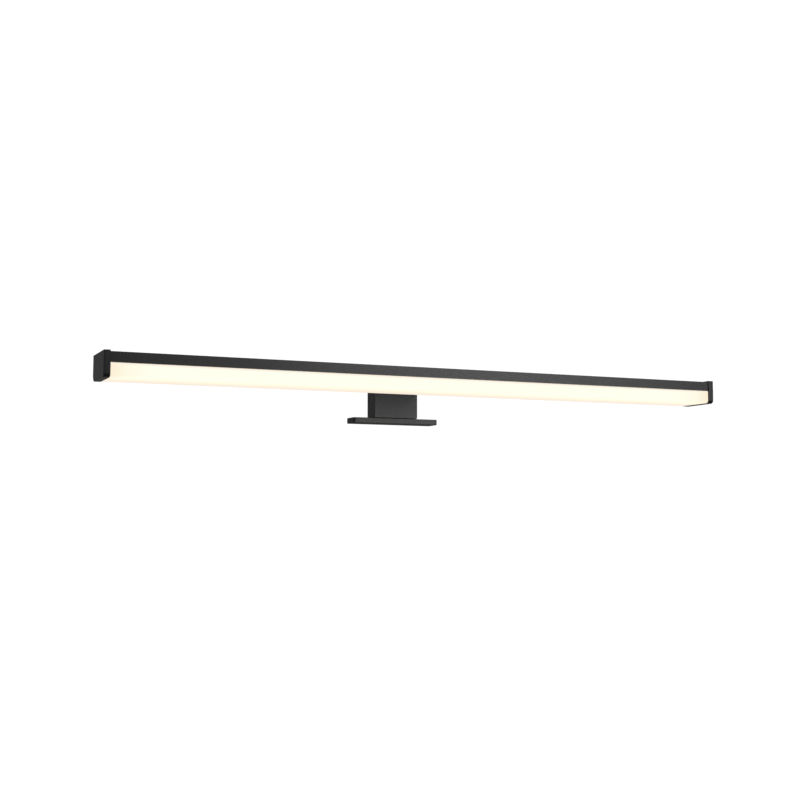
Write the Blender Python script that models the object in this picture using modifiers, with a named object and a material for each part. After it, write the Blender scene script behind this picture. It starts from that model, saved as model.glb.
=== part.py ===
"""Slim LED mirror light: a bar with an L-shaped opal diffuser, on a hollow neck with a screw-down foot.

Metres, +Z up. The origin is the centre of the foot's underside. X runs along the bar, the bar's
front faces -Y, and +Y points back towards the wall. The bar's own pieces are placed in its
section frame: Y rearwards and Z up from the front bottom corner of the extruded profile.
"""

import math

import bmesh
import bpy
from mathutils import Vector

# ---------------------------------------------------------------- driving dimensions
GAP = 0.0003  # clearance between pieces that touch
SINK = 0.0002  # how far a joined piece reaches into its parent, so that the union is solid
THROUGH = 0.002  # how far a cutter stands out of the wall that it cuts

BAR_LENGTH = 0.600
BAR_DEPTH = 0.0454
BAR_HEIGHT = 0.0224
BAR_LIFT = 0.0224  # underside of the end caps above the foot's underside
STANDOFF = 0.0989  # front of the end caps to the front of the box and foot
CAP_THICKNESS = 0.0055
CAP_BROW = 0.0010  # the caps stand this far out of the profile in front and on top
CAP_HEEL = 0.0006  # and this far behind it
CAP_SOLE = 0.0005  # and this far below it

FOOT_WIDTH = 0.0884
FOOT_DEPTH = 0.0188
FOOT_THICKNESS = 0.0053
FOOT_CORNER = 0.0025
BOX_WIDTH = 0.0451
BOX_DEPTH = 0.0185

# ---------------------------------------------------------------- profile and diffuser section
PROFILE_DEPTH = BAR_DEPTH - CAP_BROW - CAP_HEEL
PROFILE_HEIGHT = BAR_HEIGHT - CAP_BROW - CAP_SOLE
PROFILE_HALF = BAR_LENGTH / 2 - CAP_THICKNESS - GAP
BAND_HEIGHT = 0.0089  # black front strip above the diffuser
WALL = 0.0016
ROOF = 0.0013
RIB = 0.0010  # clip ribs that the diffuser hooks over
REAR_RIB_LOW = 0.0023
EDGE_RADIUS = 0.0004
HEEL_RADIUS = 0.0031  # rear bottom corner
HEEL_DEPTH = 0.0032  # solid corner behind the diffuser's leg
TRAY_LOW = 0.0106
TRAY_THICKNESS = 0.0009
LIP = 0.0008
LIP_REACH = 0.0025
HANGER_FRONT = 0.0055
HANGER_BACK = HANGER_FRONT + RIB
BRIDGE_LOW = 0.0150

DIFFUSER_WALL = 0.0020
DIFFUSER_RADIUS = 0.0029
HOOK_THICKNESS = 0.0012
HOOK_HEIGHT = 0.0013
SHOULDER = 0.0015  # top of the diffuser's front strip

# ---------------------------------------------------------------- inside the bar
TRAY_HALF = 0.286
BOARD_WIDTH = 0.0220
BOARD_THICKNESS = 0.0012
BOARD_MIDDLE = 0.0220  # centre of the LED row behind the profile's front
BOARD_INNER_END = 0.0015
BOARD_OUTER_END = 0.2835
LEDS_PER_BOARD = 36
LED_SIZE = (0.0028, 0.0035, 0.0008)
BOARD_SCREW_X = (0.030, 0.262)
BOARD_SCREW_Y = 0.0148
LED_LEAD_X = -0.193
LED_LEAD_Y = 0.0162
DRIVER_X = -0.110
DRIVER_LENGTH = 0.130
DRIVER_WIDTH = 0.0240
DRIVER_MIDDLE = 0.0230
DRIVER_WALL = 0.0010
DRIVER_EAR = 0.0060
DRIVER_LEAD_LIFT = 0.0163  # height of the leads' holes in the driver's ends
DRIVER_PORTS = {"mains": (0.0228, 0.0196), "led": (0.0200, 0.0240)}  # behind the profile's front
LEAD_HOLE = 0.0024

# ---------------------------------------------------------------- neck, box and foot
FRONT_PLANE = -FOOT_DEPTH / 2
BOX_REAR = FRONT_PLANE + BOX_DEPTH
NECK_BOTTOM = FOOT_THICKNESS + GAP
NECK_TOP = 0.0430
ARM_BOTTOM = 0.0304
NECK_WALL = 0.0018
ROOF_WALL = 0.0016
BOX_FRONT_WALL = 0.0020
BOX_FLOOR = 0.0025
NECK_EDGE = 0.0006
FLANGE = 0.0030
GASKET_THICKNESS = 0.0008
COVER_THICKNESS = 0.0022
NECK_SCREW_X = 0.0140
NECK_SCREW_Z = 0.0382
LEAD_PORT_Z = 0.0386
LEAD_PORT = (0.0100, 0.0050)  # width and height of the oval lead port
COVER_SCREW = (0.0160, 0.0250)
INLET_Z = 0.0143
INLET_RADIUS = 0.0046
FOOT_SCREW_X = 0.0140
FIXING_X = 0.0325  # screw holes in the foot's ears
GASKET_LOW, GASKET_HIGH = (-0.0210, 0.0312), (0.0210, 0.0422)
BUSH_COLLAR = 0.0009
LEAD_RADIUS = 0.0009
LED_LEAD_RADIUS = 0.00065

# ---------------------------------------------------------------- terminal block
POLE_X = 0.0052
BLOCK_REAR = 0.0034
BLOCK_LOW, BLOCK_HIGH = 0.0230, 0.0365
BLOCK_MIDDLE_Z = (BLOCK_LOW + BLOCK_HIGH) / 2
BLOCK_HALF = 0.0092
INSERT_HALF = 0.0023
INSERT_Y = -0.0031
INSERT_INSET = 0.0006
CHIMNEY_RADIUS = 0.0019
WIRE_BORE = 0.0014
CLAMPING_Z = (0.0262, 0.0333)

# ---------------------------------------------------------------- threads and facets
M3 = 0.0015
M25 = 0.0012
SIDES = 16

# Places that follow from the driving dimensions
PROFILE_FRONT_Y = FRONT_PLANE - STANDOFF + CAP_BROW
PROFILE_BOTTOM_Z = BAR_LIFT + CAP_SOLE
PROFILE_REAR_Y = PROFILE_FRONT_Y + PROFILE_DEPTH
ARM_FRONT_Y = PROFILE_REAR_Y + GAP + GASKET_THICKNESS + GAP
SLOT_LOW = TRAY_LOW - GAP
SLOT_HIGH = TRAY_LOW + TRAY_THICKNESS + GAP
TRAY_TOP = TRAY_LOW + TRAY_THICKNESS
CHAMBER_TOP = PROFILE_HEIGHT - ROOF
INNER_REAR = PROFILE_DEPTH - WALL
HEEL_FRONT = PROFILE_DEPTH - HEEL_DEPTH
BOARD_TOP = TRAY_LOW - GAP
BOARD_LOW = BOARD_TOP - BOARD_THICKNESS
INSIDE_X = BOX_WIDTH / 2 - NECK_WALL
INSIDE_FLOOR = NECK_BOTTOM + BOX_FLOOR
INSIDE_TOP = NECK_TOP - ROOF_WALL
INSIDE_FRONT = FRONT_PLANE + BOX_FRONT_WALL
COVER_FRONT = BOX_REAR - COVER_THICKNESS
BLOCK_FRONT = INSIDE_FRONT + GAP
SIDE_NAMES = {-1: "left", 1: "right"}

# Rotations that turn a prism's outline into the plane across each axis
FACING = {
    "X": (math.pi / 2, 0.0, math.pi / 2),
    "Y": (math.pi / 2, 0.0, 0.0),
    "Z": (0.0, 0.0, 0.0),
}


# ---------------------------------------------------------------- scene helpers
def clear_scene():
    for obj in list(bpy.data.objects):
        bpy.data.objects.remove(obj, do_unlink=True)


def new_collection(name):
    group = bpy.data.collections.new(name)
    bpy.context.scene.collection.children.link(group)
    return group


def new_material(name, colour, roughness, metallic=0.0, glow=0.0):
    material = bpy.data.materials.new(name)
    material.use_nodes = True
    shader = material.node_tree.nodes["Principled BSDF"]
    shader.inputs["Base Color"].default_value = (*colour, 1.0)
    shader.inputs["Roughness"].default_value = roughness
    shader.inputs["Metallic"].default_value = metallic
    if glow:
        shader.inputs["Emission Color"].default_value = (*colour, 1.0)
        shader.inputs["Emission Strength"].default_value = glow
    material.diffuse_color = (*colour, 1.0)
    return material


def place(name, mesh, location=(0.0, 0.0, 0.0), rotation=(0.0, 0.0, 0.0)):
    """A new object of this mesh, in the parts collection and with the current assembly as parent."""
    obj = bpy.data.objects.new(name, mesh)
    PARTS.objects.link(obj)
    obj.parent = ASSEMBLY["current"]
    obj.location = location
    obj.rotation_euler = rotation
    return obj


def assembly(name, location=(0.0, 0.0, 0.0)):
    """An empty that holds the pieces made after it."""
    empty = bpy.data.objects.new(name, None)
    PARTS.objects.link(empty)
    empty.location = location
    empty.empty_display_size = 0.01
    ASSEMBLY["current"] = empty


def paint(obj, material):
    obj.data.materials.clear()
    obj.data.materials.append(material)
    return obj


def combine(target, tool, operation):
    """Cuts the tool from the target, or joins it, and puts the tool away with the cutters."""
    PARTS.objects.unlink(tool)
    CUTTERS.objects.link(tool)
    tool.hide_render = True
    tool.display_type = "WIRE"
    modifier = target.modifiers.new(operation.lower() + "_" + tool.name, "BOOLEAN")
    modifier.operation = operation
    modifier.object = tool
    return target


def cut(target, *tools):
    for tool in tools:
        combine(target, tool, "DIFFERENCE")
    return target


def join(target, *tools):
    for tool in tools:
        combine(target, tool, "UNION")
    return target


def round_edges(obj, width, segments=2):
    bevel = obj.modifiers.new("rounded_edges", "BEVEL")
    bevel.width = width
    bevel.segments = segments
    bevel.limit_method = "ANGLE"
    bevel.angle_limit = math.radians(40)
    return obj


def smooth(obj):
    obj.data.shade_smooth()
    obj.data.set_sharp_from_angle(angle=math.radians(35))
    return obj


# ---------------------------------------------------------------- shape helpers
def boxes(name, extents):
    """One mesh of separate boxes, each given by its lowest and highest corners."""
    bm = bmesh.new()
    for low, high in extents:
        low, high = Vector(low), Vector(high)
        made = bmesh.ops.create_cube(bm, size=1.0)["verts"]
        bmesh.ops.scale(bm, vec=high - low, verts=made)
        bmesh.ops.translate(bm, vec=(high + low) / 2, verts=made)
    mesh = bpy.data.meshes.new(name)
    bm.to_mesh(mesh)
    bm.free()
    return mesh


def block(name, low, high):
    """A box placed by its centre."""
    low, high = Vector(low), Vector(high)
    half = (high - low) / 2
    return place(name, boxes(name, [(-half, half)]), (low + high) / 2)


def rod(name, start, end, radius, sides=SIDES):
    """A cylinder between two points."""
    start, end = Vector(start), Vector(end)
    bm = bmesh.new()
    bmesh.ops.create_cone(
        bm, cap_ends=True, segments=sides, radius1=radius, radius2=radius, depth=(end - start).length
    )
    mesh = bpy.data.meshes.new(name)
    bm.to_mesh(mesh)
    bm.free()
    turn = (end - start).to_track_quat("Z", "Y").to_euler()
    return smooth(place(name, mesh, (start + end) / 2, turn))


def rounded(corners, steps=4):
    """Outline points of a polygon whose corners (u, v, radius) are rounded with arcs."""
    points = []
    for index, (u, v, radius) in enumerate(corners):
        corner = Vector((u, v))
        if not radius:
            points.append((u, v))
            continue
        before = Vector(corners[index - 1][:2]) - corner
        after = Vector(corners[(index + 1) % len(corners)][:2]) - corner
        before.normalize()
        after.normalize()
        half_angle = before.angle(after) / 2
        centre = corner + (before + after).normalized() * radius / math.sin(half_angle)
        start = corner + before * radius / math.tan(half_angle) - centre
        end = corner + after * radius / math.tan(half_angle) - centre
        sweep = math.copysign(math.pi - 2 * half_angle, start.cross(end))
        for step in range(steps + 1):
            angle = sweep * step / steps
            points.append(
                (
                    centre.x + start.x * math.cos(angle) - start.y * math.sin(angle),
                    centre.y + start.x * math.sin(angle) + start.y * math.cos(angle),
                )
            )
    return points


def rectangle(low, high, radius=0.0, steps=4):
    corners = [(low[0], low[1]), (high[0], low[1]), (high[0], high[1]), (low[0], high[1])]
    return rounded([(u, v, radius) for u, v in corners], steps)


def prism(name, outline, length, middle, facing):
    """A flat outline, filled and extruded to a length across the facing axis, as a welded mesh."""
    curve = bpy.data.curves.new(name + "_outline", "CURVE")
    curve.dimensions = "2D"
    curve.fill_mode = "BOTH"
    curve.extrude = length / 2
    spline = curve.splines.new("POLY")
    spline.points.add(len(outline) - 1)
    for point, (u, v) in zip(spline.points, outline):
        point.co = (u, v, 0.0, 1.0)
    spline.use_cyclic_u = True
    drawing = place(name + "_outline", curve, middle, FACING[facing])
    evaluated = drawing.evaluated_get(bpy.context.evaluated_depsgraph_get())
    mesh = bpy.data.meshes.new_from_object(evaluated)
    mesh.name = name
    bm = bmesh.new()
    bm.from_mesh(mesh)
    bmesh.ops.remove_doubles(bm, verts=bm.verts, dist=1e-6)
    bmesh.ops.dissolve_limit(bm, angle_limit=0.005, verts=bm.verts, edges=bm.edges)
    bmesh.ops.recalc_face_normals(bm, faces=bm.faces)
    bm.to_mesh(mesh)
    bm.free()
    solid = place(name, mesh)
    solid.location = drawing.location
    solid.rotation_euler = drawing.rotation_euler
    bpy.data.objects.remove(drawing, do_unlink=True)
    return solid


def turned(name, profile, location, direction, closed=False, sides=SIDES):
    """A profile (radius, height) turned about an axis; height grows along the direction."""
    mesh = bpy.data.meshes.new(name)
    bm = bmesh.new()
    verts = [bm.verts.new((radius, 0.0, height)) for radius, height in profile]
    for first, second in zip(verts, verts[1:] + (verts[:1] if closed else [])):
        bm.edges.new((first, second))
    bm.to_mesh(mesh)
    bm.free()
    obj = place(name, mesh, location, Vector(direction).to_track_quat("Z", "Y").to_euler())
    screw = obj.modifiers.new("turned", "SCREW")
    screw.steps = sides
    screw.render_steps = sides
    screw.use_merge_vertices = True
    screw.merge_threshold = 0.00001
    screw.use_smooth_shade = False
    return obj


def cross_outline(reach, width):
    """The outline of a cross recess, whose arms narrow towards their ends."""
    root, tip = width / 2, width * 0.35
    arm = [(root, -root), (reach, -tip), (reach, tip)]
    outline = []
    for quarter in range(4):
        outline += arm
        arm = [(-v, u) for u, v in arm]
    return outline


def screw(name, seat, direction, length, shank, head, height, drive, material, sunk=False):
    """A screw whose head sits at the seat and points along the direction.

    A countersunk head has its flat face at the seat. Any other head has its underside there.
    """
    tip = shank * 0.7
    if sunk:
        top = 0.0
        profile = [(0.0, top), (head, top), (head, -0.0002), (shank, -height)]
    else:
        top = height
        profile = [(0.0, top), (head * 0.8, top), (head, top - head * 0.2), (head, 0.0), (shank, 0.0)]
    profile += [(shank, -length + shank - tip), (tip, -length), (0.0, -length)]
    obj = turned(name, profile, seat, direction, sides=12)
    depth = height * 0.55
    middle = Vector(seat) + Vector(direction) * (top - depth / 2 + THROUGH / 2)
    if drive == "cross":
        outline = cross_outline(head * 0.55, head * 0.22)
        recess = prism(name + "_recess", outline, depth + THROUGH, middle, "Z")
        recess.rotation_euler = obj.rotation_euler
    elif drive == "slot":
        half = Vector((head * 1.2, head * 0.14, (depth + THROUGH) / 2))
        slot = boxes(name + "_recess", [(-half, half)])
        recess = place(name + "_recess", slot, middle, obj.rotation_euler)
    else:
        far = Vector(direction) * (depth + THROUGH) / 2
        recess = rod(name + "_recess", middle - far, middle + far, head * 0.5, sides=6)
    return paint(cut(obj, recess), material)


def smooth_route(points, per_span=2):
    """Points of a Catmull-Rom curve through the route's points."""
    points = [Vector(point) for point in points]
    padded = [2 * points[0] - points[1], *points, 2 * points[-1] - points[-2]]
    route = []
    for p0, p1, p2, p3 in zip(padded, padded[1:], padded[2:], padded[3:]):
        for step in range(per_span):
            t = step / per_span
            route.append(
                0.5 * (2 * p1 + (p2 - p0) * t + (2 * p0 - 5 * p1 + 4 * p2 - p3) * t**2
                       + (3 * p1 - 3 * p2 + p3 - p0) * t**3)
            )
    return [*route, points[-1]]


def lead(name, points, radius, material):
    """An insulated single core along its route."""
    curve = bpy.data.curves.new(name, "CURVE")
    curve.dimensions = "3D"
    curve.bevel_depth = radius
    curve.bevel_resolution = 2
    curve.use_fill_caps = True
    route = smooth_route(points)
    spline = curve.splines.new("POLY")
    spline.points.add(len(route) - 1)
    for point, at in zip(spline.points, route):
        point.co = (*at, 1.0)
    return paint(place(name, curve), material)


# ---------------------------------------------------------------- the bar's sections
def housing_outline():
    """Black extrusion: roof, front band, rear wall, clip ribs and the grooves of the gear tray."""
    band_low = PROFILE_HEIGHT - BAND_HEIGHT
    rail = INNER_REAR - LIP_REACH
    hook = HANGER_BACK + LIP_REACH
    return rounded(
        [
            (0, band_low, 0),
            (0, PROFILE_HEIGHT, EDGE_RADIUS),
            (PROFILE_DEPTH, PROFILE_HEIGHT, EDGE_RADIUS),
            (PROFILE_DEPTH, 0, HEEL_RADIUS),
            (HEEL_FRONT, 0, 0),
            # rib for the diffuser's rear hook
            (HEEL_FRONT, REAR_RIB_LOW, 0),
            (HEEL_FRONT - WALL, REAR_RIB_LOW, 0),
            (HEEL_FRONT - WALL, REAR_RIB_LOW + RIB, 0),
            (INNER_REAR, REAR_RIB_LOW + RIB, 0),
            # rear groove of the tray
            (INNER_REAR, SLOT_LOW - LIP, 0),
            (rail, SLOT_LOW - LIP, 0),
            (rail, SLOT_LOW, 0),
            (INNER_REAR, SLOT_LOW, 0),
            (INNER_REAR, SLOT_HIGH, 0),
            (rail, SLOT_HIGH, 0),
            (rail, SLOT_HIGH + LIP, 0),
            (INNER_REAR, SLOT_HIGH + LIP, 0),
            (INNER_REAR, CHAMBER_TOP, 0),
            # hanger with the front groove of the tray
            (WALL, CHAMBER_TOP, 0),
            (WALL, BRIDGE_LOW + RIB, 0),
            (HANGER_BACK, BRIDGE_LOW + RIB, 0),
            (HANGER_BACK, SLOT_HIGH + LIP, 0),
            (hook, SLOT_HIGH + LIP, 0),
            (hook, SLOT_HIGH, 0),
            (HANGER_BACK, SLOT_HIGH, 0),
            (HANGER_BACK, SLOT_LOW, 0),
            (hook, SLOT_LOW, 0),
            (hook, SLOT_LOW - LIP, 0),
            (HANGER_FRONT, SLOT_LOW - LIP, 0),
            (HANGER_FRONT, BRIDGE_LOW, 0),
            (WALL, BRIDGE_LOW, 0),
            # rib for the diffuser's front hook
            (WALL, band_low + RIB, 0),
            (WALL + RIB, band_low + RIB, 0),
            (WALL + RIB, band_low, 0),
        ],
        steps=4,
    )


def diffuser_outline():
    """Opal L with a hook over the profile's front rib and another over its rear rib."""
    top = PROFILE_HEIGHT - BAND_HEIGHT - GAP
    front_hook = WALL + RIB + GAP
    front_catch = top + GAP + RIB + GAP
    rear_hook = HEEL_FRONT - WALL - GAP
    rear_catch = REAR_RIB_LOW + RIB + GAP
    return rounded(
        [
            (0, top, 0),
            (0, 0, DIFFUSER_RADIUS),
            (HEEL_FRONT - GAP, 0, 0),
            (HEEL_FRONT - GAP, DIFFUSER_WALL, 0),
            (rear_hook, DIFFUSER_WALL, 0),
            (rear_hook, rear_catch, 0),
            (rear_hook + HOOK_HEIGHT, rear_catch, 0),
            (rear_hook + HOOK_HEIGHT, rear_catch + RIB, 0),
            (rear_hook - HOOK_THICKNESS, rear_catch + RIB, 0),
            (rear_hook - HOOK_THICKNESS, DIFFUSER_WALL, 0),
            (DIFFUSER_WALL, DIFFUSER_WALL, DIFFUSER_RADIUS - DIFFUSER_WALL),
            (DIFFUSER_WALL, top - SHOULDER, 0),
            (front_hook + HOOK_THICKNESS, top - SHOULDER, 0),
            (front_hook + HOOK_THICKNESS, front_catch + HOOK_HEIGHT, 0),
            (WALL + GAP, front_catch + HOOK_HEIGHT, 0),
            (WALL + GAP, front_catch, 0),
            (front_hook, front_catch, 0),
            (front_hook, top, 0),
        ],
        steps=6,
    )


# ---------------------------------------------------------------- pieces of the bar
def section_z(z):
    """Height in the bar's section frame of a height above the foot's underside."""
    return z - PROFILE_BOTTOM_Z


def lead_port(name, y_low, y_high, grow=0.0):
    """Oval prism along Y on the lead port's axis, in the frame of the neck."""
    width, height = LEAD_PORT[0] / 2 + grow, LEAD_PORT[1] / 2 + grow
    outline = rectangle((-width, -height), (width, height), height * 0.98, steps=5)
    return prism(name, outline, y_high - y_low, (0.0, (y_low + y_high) / 2, LEAD_PORT_Z), "Y")


def in_bar_frame(obj):
    """Moves a piece that was placed in the neck's frame into the bar's section frame."""
    obj.location -= Vector((0.0, PROFILE_FRONT_Y, PROFILE_BOTTOM_Z))
    return obj


def make_housing():
    housing = prism(
        "housing_profile", housing_outline(), 2 * PROFILE_HALF, (0.0, 0.0, 0.0), "X"
    )
    screw_z = section_z(NECK_SCREW_Z)
    wall_cut = (INNER_REAR - THROUGH, PROFILE_DEPTH + THROUGH)
    for side, label in SIDE_NAMES.items():
        x = side * NECK_SCREW_X
        hole = (x, wall_cut[0], screw_z), (x, wall_cut[1], screw_z)
        cut(housing, rod(f"housing_screw_hole_{label}", *hole, M3 + GAP))
    port = lead_port(
        "housing_lead_port", PROFILE_FRONT_Y + wall_cut[0], PROFILE_FRONT_Y + wall_cut[1]
    )
    cut(housing, in_bar_frame(port))
    paint(housing, BLACK_COAT)


def make_diffuser():
    diffuser = prism("diffuser", diffuser_outline(), 2 * PROFILE_HALF, (0.0, 0.0, 0.0), "X")
    paint(diffuser, OPAL)


def make_end_cap(name, side):
    """Cap plate with a rounded outer edge, an upper spigot and a lower spigot for the seal."""
    outer, inner = BAR_LENGTH / 2, BAR_LENGTH / 2 - CAP_THICKNESS
    low, high = -CAP_SOLE, PROFILE_HEIGHT + CAP_BROW
    front, back = -CAP_BROW, PROFILE_DEPTH + CAP_HEEL
    toe_radius, heel_radius, top_radius, rim_radius = 0.0035, 0.0050, 0.0005, 0.0005
    outline = rounded(
        [
            (front, high, top_radius),
            (front, low, toe_radius),
            (back, low, heel_radius),
            (back, high, top_radius),
        ]
    )
    cap = prism(name, outline, CAP_THICKNESS, (side * (outer + inner) / 2, 0.0, 0.0), "X")
    bm = bmesh.new()
    bm.from_mesh(cap.data)
    face_z = side * CAP_THICKNESS / 2
    rim = [e for e in bm.edges if all(abs(v.co.z - face_z) < 1e-6 for v in e.verts)]
    bmesh.ops.bevel(bm, geom=rim, offset=rim_radius, segments=2, affect="EDGES", profile=0.5)
    bm.to_mesh(cap.data)
    bm.free()
    spigots = []
    for label, reach, y_span, z_span in (
        ("upper", 0.0062, (0.0100, 0.0390), (0.0132, 0.0187)),
        ("lower", 0.0070, (0.0039, 0.0357), (0.0039, 0.0076)),
    ):
        ends = sorted((side * (inner - reach), side * (inner + SINK)))
        low_corner, high_corner = zip(ends, y_span, z_span)
        spigots.append(block(f"{name}_{label}_spigot", low_corner, high_corner))
    paint(join(cap, *spigots), BLACK_PLASTIC)


def make_end_seal(name, side):
    """Silicone ring round the lower spigot, inside the diffuser."""
    centre_x, width = side * 0.2905, 0.0040
    low, high, wall = (0.0023, 0.0023), (0.0373, 0.0092), 0.0013
    ring = prism(name, rectangle(low, high, 0.0015), width, (centre_x, 0.0, 0.0), "X")
    hollow = rectangle((low[0] + wall, low[1] + wall), (high[0] - wall, high[1] - wall), 0.0002, 1)
    cut(ring, prism(name + "_hollow", hollow, width + THROUGH, (centre_x, 0.0, 0.0), "X"))
    paint(ring, RUBBER)


def make_gear_tray():
    """White sheet in the profile's grooves, with holes for screws and leads and two driver clips."""
    tray = block(
        "gear_tray",
        (-TRAY_HALF, HANGER_BACK + GAP, TRAY_LOW),
        (TRAY_HALF, INNER_REAR - GAP, TRAY_TOP),
    )
    ear_top = TRAY_TOP + GAP + DRIVER_WALL
    clip_low, clip_high = ear_top + GAP, ear_top + GAP + LIP
    half_width, clip_reach = 0.0030, 0.0033
    for side, label in SIDE_NAMES.items():
        ear_end = DRIVER_X + side * (DRIVER_LENGTH / 2 + DRIVER_EAR + GAP)
        stem = sorted((ear_end, ear_end + side * TRAY_THICKNESS))
        cap = sorted((ear_end - side * clip_reach, ear_end + side * TRAY_THICKNESS))
        y_low, y_high = DRIVER_MIDDLE - half_width, DRIVER_MIDDLE + half_width
        stem_low, stem_high = (stem[0], y_low, TRAY_TOP - SINK), (stem[1], y_high, clip_low + SINK)
        cap_low, cap_high = (cap[0], y_low, clip_low), (cap[1], y_high, clip_high)
        join(tray, block(f"clip_stem_{label}", stem_low, stem_high))
        join(tray, block(f"clip_cap_{label}", cap_low, cap_high))
        for number, x in enumerate(BOARD_SCREW_X):
            hole_low = (side * x, BOARD_SCREW_Y, TRAY_LOW - THROUGH)
            hole_high = (side * x, BOARD_SCREW_Y, TRAY_TOP + THROUGH)
            cut(tray, rod(f"tray_screw_hole_{label}_{number}", hole_low, hole_high, M3 + GAP))
    cut(
        tray,
        rod(
            "tray_lead_hole",
            (LED_LEAD_X, LED_LEAD_Y, TRAY_LOW - THROUGH),
            (LED_LEAD_X, LED_LEAD_Y, TRAY_TOP + THROUGH),
            LEAD_HOLE,
        ),
    )
    paint(tray, WHITE_STEEL)


def make_led_board(name, side):
    """Aluminium-core board under the tray, its LED packages facing down."""
    ends = sorted((side * BOARD_INNER_END, side * BOARD_OUTER_END))
    board = block(
        name,
        (ends[0], BOARD_MIDDLE - BOARD_WIDTH / 2, BOARD_LOW),
        (ends[1], BOARD_MIDDLE + BOARD_WIDTH / 2, BOARD_TOP),
    )
    pitch = (BOARD_OUTER_END - BOARD_INNER_END) / LEDS_PER_BOARD
    half_x, half_y, height = LED_SIZE[0] / 2, LED_SIZE[1] / 2, LED_SIZE[2]
    packages = []
    for number in range(LEDS_PER_BOARD):
        x = ends[0] + pitch * (number + 0.5)
        packages.append(
            (
                (x - half_x, BOARD_MIDDLE - half_y, BOARD_LOW - height),
                (x + half_x, BOARD_MIDDLE + half_y, BOARD_LOW + SINK),
            )
        )
    join(board, place(name + "_leds", boxes(name + "_leds", packages)))
    for number, x in enumerate(BOARD_SCREW_X):
        low = (side * x, BOARD_SCREW_Y, BOARD_LOW - THROUGH)
        high = (side * x, BOARD_SCREW_Y, BOARD_TOP + THROUGH)
        cut(board, rod(f"{name}_hole_{number}", low, high, M3 + GAP))
    if side * LED_LEAD_X > 0:
        low = (LED_LEAD_X, LED_LEAD_Y, BOARD_LOW - THROUGH)
        high = (LED_LEAD_X, LED_LEAD_Y, BOARD_TOP + THROUGH)
        cut(board, rod(name + "_lead_hole", low, high, LEAD_HOLE))
    paint(board, BOARD_WHITE)


def make_board_connector():
    """Plug bridge across the gap between the two boards."""
    top = BOARD_LOW - GAP
    half_length, front, back, height = 0.0060, 0.0262, 0.0312, 0.0024
    half_slot, slot_depth = 0.0008, 0.0010
    body = block("board_connector", (-half_length, front, top - height), (half_length, back, top))
    slot_low = (-half_slot, front - THROUGH, top - height - THROUGH)
    slot_high = (half_slot, back + THROUGH, top - height + slot_depth)
    cut(body, block("connector_slot", slot_low, slot_high))
    paint(body, CONNECTOR_PLASTIC)


def make_board_screws():
    places = [side * x for side in (-1, 1) for x in BOARD_SCREW_X]
    for number, x in enumerate(sorted(places), start=1):
        seat = (x, BOARD_SCREW_Y, BOARD_LOW - GAP)
        length, head, height = 0.0042, 0.0026, 0.0016
        screw(f"board_screw_{number}", seat, (0, 0, -1), length, M3, head, height, "cross", ZINC)


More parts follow.
